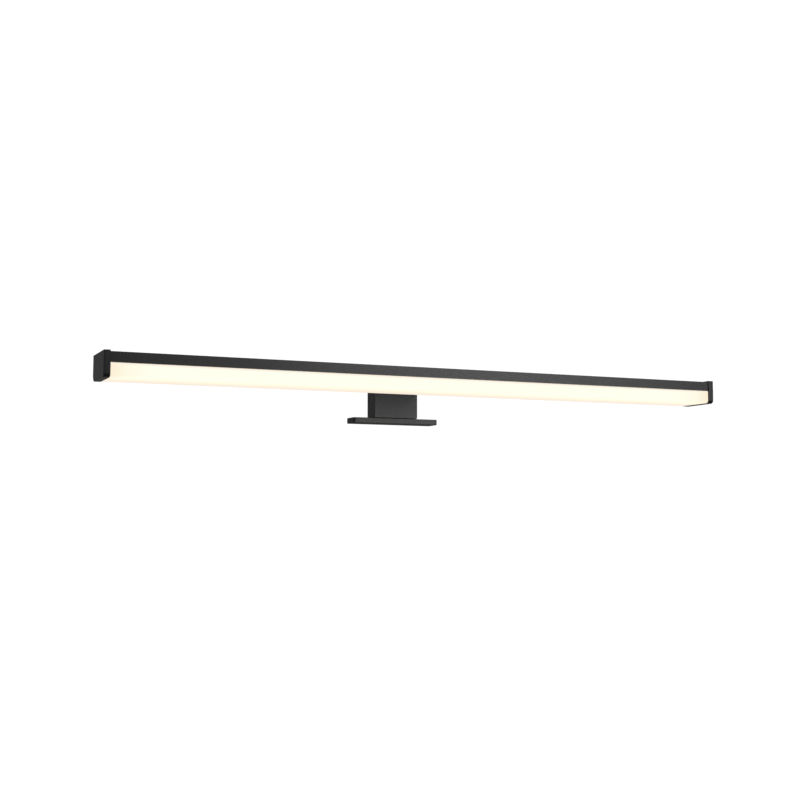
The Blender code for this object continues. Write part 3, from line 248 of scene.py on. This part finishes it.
def opal_glow():
    """Lit opal cover: warmer at its ends, under the band and at the rear, with unlit cut ends."""
    look = Look("opal_glow")
    half = (GLOW_HIGH.x - GLOW_LOW.x) / 2
    from_end = look.math("SUBTRACT", half, look.math("ABSOLUTE", look.axis("X")))
    near_end = look.span(from_end, 0.0, NEAR_END_REACH, 1.0, 0.0, smooth=True)
    at_end = look.span(from_end, 0.0, END_REACH, 1.0, 0.0, smooth=True)
    band_edge = GLOW_LOW.z + STRIP_HEIGHT
    under_band = look.span(look.axis("Z"), *(band_edge - d for d in UNDER_BAND_FADE), smooth=True)
    at_rear = look.span(look.axis("Y"), *(GLOW_HIGH.y - d for d in REAR_FADE), smooth=True)
    on_leg = look.span(look.axis("Y"), *(GLOW_LOW.y + d for d in LEG_FADE), smooth=True)
    glow = look.blend(on_leg, GLOW_FRONT, GLOW_LEG)
    glow = look.blend(near_end, glow, GLOW_NEAR_END)
    glow = look.blend(at_end, glow, GLOW_END)
    glow = look.blend(under_band, glow, GLOW_UNDER_BAND)
    glow = look.blend(at_rear, glow, GLOW_REAR)
    facing = look.node("ShaderNodeNewGeometry").outputs["True Normal"]
    sideways = look.math("ABSOLUTE", look.node("ShaderNodeSeparateXYZ", Vector=facing).outputs["X"])
    grain = look.noise(0.00040, 2.0)
    look.set(Base_Color=(0.80, 0.78, 0.72), Roughness=look.span(grain, 0.3, 0.7, 0.38, 0.50))
    look.set(Emission_Color=glow, Emission_Strength=look.math("LESS_THAN", sideways, CUT_END_NORMAL))
    look.set(Normal=look.bump(grain, 0.00003, 0.25))
    return look.material


def rubber():
    """Dull black rubber with a little bloom on it."""
    look = Look("soft_black_rubber")
    bloom = look.span(look.noise(0.0030, 4.0, 0.65), 0.5, 0.75, 0.0, 0.6)
    grain = look.noise(0.00025, 2.0)
    look.set(Base_Color=look.blend(bloom, (0.012, 0.012, 0.012), (0.026, 0.026, 0.025)))
    look.set(Roughness=look.span(grain, 0.3, 0.7, 0.68, 0.84))
    look.set(Specular_IOR_Level=0.35, Normal=look.bump(grain, 0.00004, 0.5))
    return look.material


def plated(name, dark, light, smooth_at, rough_at, stretch=None):
    """Bright metal with uneven plating and fine tool marks."""
    look = Look(name)
    patches = look.noise(0.0016, 4.0, 0.6)
    marks = look.noise(0.00018, 2.0, 0.6, stretch)
    look.set(Base_Color=look.blend(look.span(patches, 0.35, 0.68), dark, light), Metallic=1.0)
    look.set(Roughness=look.span(marks, 0.3, 0.7, smooth_at, rough_at))
    look.set(Normal=look.bump(marks, 0.00002, 0.4))
    return look.material


def insulation(name, colour):
    """Extruded PVC on a single core: slightly cloudy, with faint draw marks."""
    look = Look(name)
    cloudy = look.noise(0.0035, 3.0)
    marks = look.noise(0.00020, 2.0, 0.5)
    dark, light = shade(colour, 0.82), shade(colour, 1.12)
    look.set(Base_Color=look.blend(look.span(cloudy, 0.3, 0.7), dark, light))
    look.set(Roughness=look.span(marks, 0.3, 0.7, 0.32, 0.44), Normal=look.bump(marks, 0.00002, 0.3))
    return look.material


def led_board():
    """White solder mask with printed tracks, solder pads and a phosphor dot on every LED."""
    look = Look("led_board_printed")
    along = look.math("ABSOLUTE", look.axis("X"))
    board_end = LED_BOARD_HIGH.x
    pitch = (board_end - LED_FIRST_EDGE) / LED_COUNT
    steps = look.math("DIVIDE", look.math("SUBTRACT", along, LED_FIRST_EDGE), pitch)
    off_x = look.math("MULTIPLY", look.away(look.math("FRACT", steps), 0.5), pitch)
    off_y = look.away(look.axis("Y"), PROFILE_LOW.y + LED_ROW)
    reach = look.math("SQRT", look.math("ADD", look.math("MULTIPLY", off_x, off_x),
                                        look.math("MULTIPLY", off_y, off_y)))
    low = LED_BOARD_LOW.z
    under = look.span(look.axis("Z"), low + LED_HEIGHT / 4, low + LED_HEIGHT / 2, 1.0, 0.0)
    dot = look.math("MULTIPLY", look.span(reach, PHOSPHOR_RADIUS, PHOSPHOR_RADIUS * 0.9), under)
    beside = look.math("COMPARE", off_x, PAD_OFFSET, PAD_HALF_WIDTH)
    pad = look.math("MULTIPLY", beside, look.math("LESS_THAN", off_y, PAD_HALF_DEPTH))
    track = look.math("MULTIPLY", look.math("COMPARE", off_y, TRACK_OFFSET, TRACK_HALF_WIDTH), 0.5)
    grain = look.noise(0.00035, 2.0)
    cloudy = look.span(look.noise(0.010, 2.0), 0.3, 0.7)
    mask = look.blend(cloudy, (0.80, 0.80, 0.76), (0.86, 0.86, 0.83))
    colour = look.blend(track, mask, (0.74, 0.74, 0.70))
    colour = look.blend(pad, colour, (0.62, 0.62, 0.60))
    colour = look.blend(dot, colour, (0.93, 0.70, 0.10))
    look.set(Base_Color=colour, Roughness=look.span(grain, 0.3, 0.7, 0.34, 0.46))
    look.set(Emission_Color=(1.0, 0.90, 0.62), Emission_Strength=look.math("MULTIPLY", dot, 1.5))
    look.set(Normal=look.bump(look.math("ADD", track, grain), 0.00004, 0.4))
    return look.material


def circuit_board():
    """Green solder mask with lighter tracks, and each fitted component in its own colour."""
    look = Look("circuit_board_fitted")
    middle = (CIRCUIT_LOW.x + CIRCUIT_HIGH.x) / 2
    walls = look.span(look.cells(0.0042), 0.04, 0.07, 1.0, 0.0)
    grain = look.noise(0.00030, 2.0)
    mask = look.blend(walls, (0.016, 0.105, 0.035), (0.040, 0.190, 0.070))
    along = look.math("SUBTRACT", look.axis("X"), middle)
    parts = (0.02, 0.02, 0.02)
    for centre, half_length, colour in COMPONENTS:
        parts = look.blend(look.math("COMPARE", along, centre, half_length), parts, colour)
    parts = look.blend(look.span(grain, 0.55, 0.75, 0.0, 0.25), parts, (0.30, 0.30, 0.30))
    board_top = CIRCUIT_LOW.z + CIRCUIT_THICKNESS
    raised = look.math("GREATER_THAN", look.axis("Z"), board_top + 0.00005)
    look.set(Base_Color=look.blend(raised, mask, parts))
    look.set(Roughness=look.span(grain, 0.3, 0.7, 0.32, 0.50), Normal=look.bump(walls, 0.00004, 0.5))
    return look.material


# ---------------------------------------------------------------- finer shading of the CAD nodes
def smoothing(angle):
    """A node group that welds a mesh and shades it smooth, except across edges above the angle."""
    group = bpy.data.node_groups.new("smooth_by_angle", "GeometryNodeTree")
    for direction in ("INPUT", "OUTPUT"):
        group.interface.new_socket("Geometry", in_out=direction, socket_type="NodeSocketGeometry")
    made = {}
    for key, kind in (
        ("source", "NodeGroupInput"),
        ("plain", "GeometryNodeRemoveAttribute"),
        ("weld", "GeometryNodeMergeByDistance"),
        ("faces", "GeometryNodeSetShadeSmooth"),
        ("edges", "GeometryNodeSetShadeSmooth"),
        ("angle", "GeometryNodeInputMeshEdgeAngle"),
        ("low", "FunctionNodeCompare"),
        ("sink", "NodeGroupOutput"),
    ):
        made[key] = group.nodes.new(kind)
    made["plain"].inputs["Name"].default_value = "custom_normal"
    made["weld"].inputs["Distance"].default_value = WELD_DISTANCE
    made["faces"].domain = "FACE"
    made["edges"].domain = "EDGE"
    made["low"].data_type = "FLOAT"
    made["low"].operation = "LESS_THAN"
    made["low"].inputs["B"].default_value = math.radians(angle)
    link = group.links.new
    link(made["source"].outputs[0], made["plain"].inputs["Geometry"])
    link(made["plain"].outputs["Geometry"], made["weld"].inputs["Geometry"])
    link(made["weld"].outputs["Geometry"], made["faces"].inputs["Geometry"])
    link(made["faces"].outputs["Geometry"], made["edges"].inputs["Geometry"])
    link(made["angle"].outputs["Unsigned Angle"], made["low"].inputs["A"])
    link(made["low"].outputs["Result"], made["edges"].inputs["Shade Smooth"])
    link(made["edges"].outputs["Geometry"], made["sink"].inputs[0])
    return group


def refine(group, names, edge=0.0):
    """Softens the named nodes' sharp edges by a small bevel, and smooths their facets."""
    for name in names:
        node = NODES[name]
        if edge:
            weld = node.modifiers.new("welded", "WELD")
            weld.merge_threshold = WELD_DISTANCE
            bevel = node.modifiers.new("soft_edges", "BEVEL")
            bevel.width = edge
            bevel.segments = 2
            bevel.limit_method = "ANGLE"
            bevel.angle_limit = math.radians(BEVELLED_ANGLE)
            bevel.use_clamp_overlap = True
        shading = node.modifiers.new("smooth_facets", "NODES")
        shading.node_group = group
        flats = node.modifiers.new("flat_faces_stay_flat", "WEIGHTED_NORMAL")
        flats.keep_sharp = True


# ---------------------------------------------------------------- studio
def make_camera():
    data = bpy.data.cameras.new("photo_camera")
    data.lens = LENS_MM
    data.sensor_width = SENSOR_MM
    data.clip_start = 0.01
    data.clip_end = 50.0
    camera = bpy.data.objects.new("photo_camera", data)
    bpy.context.scene.collection.objects.link(camera)
    camera.location = CAMERA_PLACE
    camera.rotation_euler = Euler([math.radians(angle) for angle in CAMERA_TURN])
    bpy.context.scene.camera = camera


def make_world():
    """White behind the object for the camera, and a dim light from all round for everything else."""
    world = bpy.data.worlds.new("white_studio")
    bpy.context.scene.world = world
    world.use_nodes = True
    tree = world.node_tree
    backdrop = tree.nodes["Background"]
    backdrop.inputs["Color"].default_value = (*WHITE, 1.0)
    backdrop.inputs["Strength"].default_value = BACKDROP
    direction = tree.nodes.new("ShaderNodeTexCoord")
    split = tree.nodes.new("ShaderNodeSeparateXYZ")
    grade = tree.nodes.new("ShaderNodeMapRange")
    grade.interpolation_type = "SMOOTHSTEP"
    grade.inputs["From Min"].default_value = -AMBIENT_BLEND
    grade.inputs["From Max"].default_value = AMBIENT_BLEND
    grade.inputs["To Min"].default_value = AMBIENT_FRONT
    grade.inputs["To Max"].default_value = AMBIENT_BACK
    ambient = tree.nodes.new("ShaderNodeBackground")
    ambient.inputs["Color"].default_value = (*WHITE, 1.0)
    seen = tree.nodes.new("ShaderNodeLightPath")
    mix = tree.nodes.new("ShaderNodeMixShader")
    tree.links.new(direction.outputs["Generated"], split.inputs[0])
    tree.links.new(split.outputs["Y"], grade.inputs["Value"])
    tree.links.new(grade.outputs["Result"], ambient.inputs["Strength"])
    tree.links.new(seen.outputs["Is Camera Ray"], mix.inputs[0])
    tree.links.new(ambient.outputs[0], mix.inputs[1])
    tree.links.new(backdrop.outputs[0], mix.inputs[2])
    tree.links.new(mix.outputs[0], tree.nodes["World Output"].inputs["Surface"])


def except_for(obj):
    """A receiver collection that keeps the studio lights off the lit cover, which outshines them."""
    group = bpy.data.collections.new("lit_by_itself")
    group.objects.link(obj)
    group.collection_objects[0].light_linking.link_state = "EXCLUDE"
    return group


def only_for(*names):
    """A receiver collection that keeps a light to the named nodes."""
    group = bpy.data.collections.new("shaded_by_the_bar")
    for name in names:
        group.objects.link(NODES[name])
    return group


def make_light(name, kind, place, target, power, receivers):
    data = bpy.data.lights.new(name, kind)
    data.energy = power
    light = bpy.data.objects.new(name, data)
    bpy.context.scene.collection.objects.link(light)
    light.location = place
    light.rotation_euler = (Vector(target) - Vector(place)).to_track_quat("-Z", "Y").to_euler()
    light.light_linking.receiver_collection = receivers
    return data


def make_lights():
    """A tall softbox in front on the right, a wide light above, and a low fill for the neck and foot."""
    receivers = except_for(NODES["diffuser"])
    aim = Vector((SOFTBOX_AIM_X, PROFILE_LOW.y, PROFILE_HIGH.z))
    turn = Euler((math.radians(-SOFTBOX_ELEVATION), 0.0, math.radians(SOFTBOX_AZIMUTH)))
    away = Vector((0.0, -SOFTBOX_REACH, 0.0))
    away.rotate(turn)
    softbox = make_light("front_softbox", "AREA", aim + away, aim, SOFTBOX_POWER, receivers)
    softbox.shape = "RECTANGLE"
    softbox.size, softbox.size_y = SOFTBOX_SIZE
    middle = (0.0, 0.0, 0.0)
    overhead = make_light("overhead", "SUN", (0.0, 0.0, 2.0), middle, OVERHEAD_POWER, receivers)
    overhead.angle = math.radians(OVERHEAD_SPREAD)
    shaded = only_for("neck_housing", "foot_plate")
    fill = make_light("low_fill", "SUN", FILL_FROM, middle, FILL_POWER, shaded)
    fill.angle = math.radians(FILL_SPREAD)


def make_floor():
    """A pale round floor, well below the object."""
    mesh = bpy.data.meshes.new("studio_floor")
    bm = bmesh.new()
    bmesh.ops.create_circle(bm, cap_ends=True, segments=128, radius=FLOOR_RADIUS)
    bm.to_mesh(mesh)
    bm.free()
    floor = bpy.data.objects.new("studio_floor", mesh)
    bpy.context.scene.collection.objects.link(floor)
    floor.location.z = -FLOOR_DROP
    look = Look("studio_floor")
    mottle = look.noise(0.35, 2.0)
    look.set(Base_Color=look.blend(mottle, (0.88, 0.88, 0.88), (0.90, 0.90, 0.90)), Roughness=0.9)
    look.set(Emission_Color=WHITE, Emission_Strength=FLOOR_GLOW)
    mesh.materials.append(look.material)
    floor.visible_diffuse = False  # its bounce would light the undersides more than a table does
    floor.visible_glossy = False


# ---------------------------------------------------------------- pieces built finer than the CAD
def lathe(name, outline, origin, direction, steps=64):
    """A closed outline of (radius, height) points, turned about an axis through the origin."""
    bm = bmesh.new()
    turns = [2 * math.pi * step / steps for step in range(steps)]
    rows = [
        [bm.verts.new((radius * math.cos(turn), radius * math.sin(turn), height)) for turn in turns]
        for radius, height in outline
    ]
    for low, high in zip(rows, rows[1:] + rows[:1]):
        for step in range(steps):
            after = (step + 1) % steps
            bm.faces.new((low[step], low[after], high[after], high[step]))
    bmesh.ops.recalc_face_normals(bm, faces=bm.faces)
    turn = Vector(direction).to_track_quat("Z", "Y").to_matrix().to_4x4()
    bm.transform(Matrix.Translation(Vector(origin)) @ turn)
    mesh = bpy.data.meshes.new(name)
    bm.to_mesh(mesh)
    bm.free()
    piece = bpy.data.objects.new(name, mesh)
    bpy.context.scene.collection.objects.link(piece)
    mesh.shade_smooth()
    mesh.set_sharp_from_angle(angle=math.radians(LATHED_SMOOTH_ANGLE))
    return piece


def arc(centre_u, centre_v, radius, start, end, steps=6):
    """Points of an arc, angles in degrees."""
    angles = [math.radians(start + (end - start) * step / steps) for step in range(steps + 1)]
    return [(centre_u + radius * math.cos(a), centre_v + radius * math.sin(a)) for a in angles]


def make_grommet():
    """The inlet's rubber ring, with round lips inside and outside the cover."""
    middle = (GROMMET_LOW + GROMMET_HIGH) / 2
    collar = (GROMMET_HIGH.x - GROMMET_LOW.x) / 2
    half = (GROMMET_HIGH.y - GROMMET_LOW.y) / 2
    inner = GROMMET_BORE_EDGE
    outer = GROMMET_LIP / 2
    outline = (
        arc(GROMMET_BORE + inner, half - inner, inner, 180, 90, 4)
        + arc(collar - outer, half - outer, outer, 90, 0)
        + arc(collar - outer, half - GROMMET_LIP + outer, outer, 0, -90)
        + [(GROMMET_WAIST, half - GROMMET_LIP), (GROMMET_WAIST, -half + GROMMET_LIP)]
        + arc(collar - outer, -half + GROMMET_LIP - outer, outer, 90, 0)
        + arc(collar - outer, -half + outer, outer, 0, -90)
        + arc(GROMMET_BORE + inner, -half + inner, inner, 270, 180, 4)
    )
    return lathe("grommet_ring", outline, middle, (0.0, 1.0, 0.0))


# ---------------------------------------------------------------- dressing the nodes
def dress(material, *names):
    """Puts a material in every slot of the named nodes."""
    for name in names:
        for slot in NODES[name].material_slots:
            slot.material = material


bpy.context.scene.view_settings.view_transform = "Standard"
make_camera()
make_world()
make_lights()
make_floor()

BAR_COAT = (0.0070, 0.0071, 0.0074), (0.0100, 0.0100, 0.0103)
# The neck and foot wear the same black coat as the bar. This tone is a lighter copy of it: painted light
# that brightens the box front where the bar shades it.
NECK_COAT_PAINTED_LIGHTER = (0.0175, 0.0175, 0.0178), (0.0205, 0.0205, 0.0208)
BLACK_PLASTIC = (0.0080, 0.0080, 0.0083), (0.0110, 0.0110, 0.0113)
WHITE_ENAMEL = (0.74, 0.74, 0.72), (0.80, 0.80, 0.78)
GREY_PLASTIC = (0.58, 0.58, 0.56), (0.64, 0.64, 0.62)
CONNECTOR_NYLON = (0.68, 0.66, 0.59), (0.74, 0.72, 0.66)
TERMINAL_NYLON = (0.70, 0.69, 0.63), (0.76, 0.75, 0.70)
ZINC = (0.50, 0.52, 0.55), (0.64, 0.65, 0.66)
BLACK_OXIDE = (0.016, 0.016, 0.018), (0.034, 0.034, 0.036)
BRASS = (0.56, 0.41, 0.16), (0.68, 0.51, 0.23)

dress(powder_coat("powder_coat_bar", *BAR_COAT, 0.36, 0.46), "housing_profile")
# painted light: the neck and foot get the lighter copy of the bar's black coat
dress(powder_coat("powder_coat_neck_painted_lighter", *NECK_COAT_PAINTED_LIGHTER, 0.41, 0.51), "neck_housing", "foot_plate")
dress(
    moulded("moulded_plastic_black", *BLACK_PLASTIC, 0.35, 0.45),
    "end_cap_left", "end_cap_right", "rear_cover",
)
dress(opal_glow(), "diffuser")
RUBBER = rubber()
dress(RUBBER, "end_seal_left", "end_seal_right", "lead_bush", "neck_gasket", "cable_grommet")
dress(powder_coat("tray_enamel", *WHITE_ENAMEL, 0.34, 0.44), "gear_tray")
dress(led_board(), "led_board_left", "led_board_right")
dress(circuit_board(), "driver_board")
dress(moulded("driver_housing_grey", *GREY_PLASTIC), "driver_base", "driver_cover")
dress(moulded("connector_nylon", *CONNECTOR_NYLON), "board_connector")
dress(moulded("terminal_nylon", *TERMINAL_NYLON, 0.36, 0.46), "terminal_block")
dress(
    plated("zinc_plate", *ZINC, 0.26, 0.40),
    *(f"board_screw_{number}" for number in range(1, 5)),
    *(f"terminal_screw_{number}" for number in range(1, 5)),
    *(f"{part}_{side}" for part in ("nut_plate", "neck_screw", "foot_screw") for side in ("left", "right")),
    "block_screw",
)
dress(plated("black_oxide", *BLACK_OXIDE, 0.30, 0.44), "cover_screw_left", "cover_screw_right")
dress(
    plated("drawn_brass", *BRASS, 0.24, 0.38, (1.0, 1.0, 0.15)),
    "terminal_insert_live", "terminal_insert_neutral",
)
for name, material_name, colour in (
    ("live_lead", "insulation_brown", (0.130, 0.050, 0.020)),
    ("neutral_lead", "insulation_blue", (0.020, 0.090, 0.330)),
    ("led_lead_positive", "insulation_red", (0.400, 0.020, 0.020)),
    ("led_lead_negative", "insulation_black", (0.018, 0.018, 0.018)),
):
    dress(insulation(material_name, colour), name)

SMOOTH = smoothing(SMOOTHED_ANGLE)
SOFT_EDGED = (
    "housing_profile", "neck_housing", "foot_plate", "rear_cover", "end_cap_left", "end_cap_right",
)
refine(SMOOTH, SOFT_EDGED, edge=EDGE_SOFTNESS)
refine(SMOOTH, sorted(set(NODES) - set(SOFT_EDGED)))

grommet = make_grommet()
grommet.data.materials.append(RUBBER)
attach(grommet, "root")
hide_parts("cable_grommet")
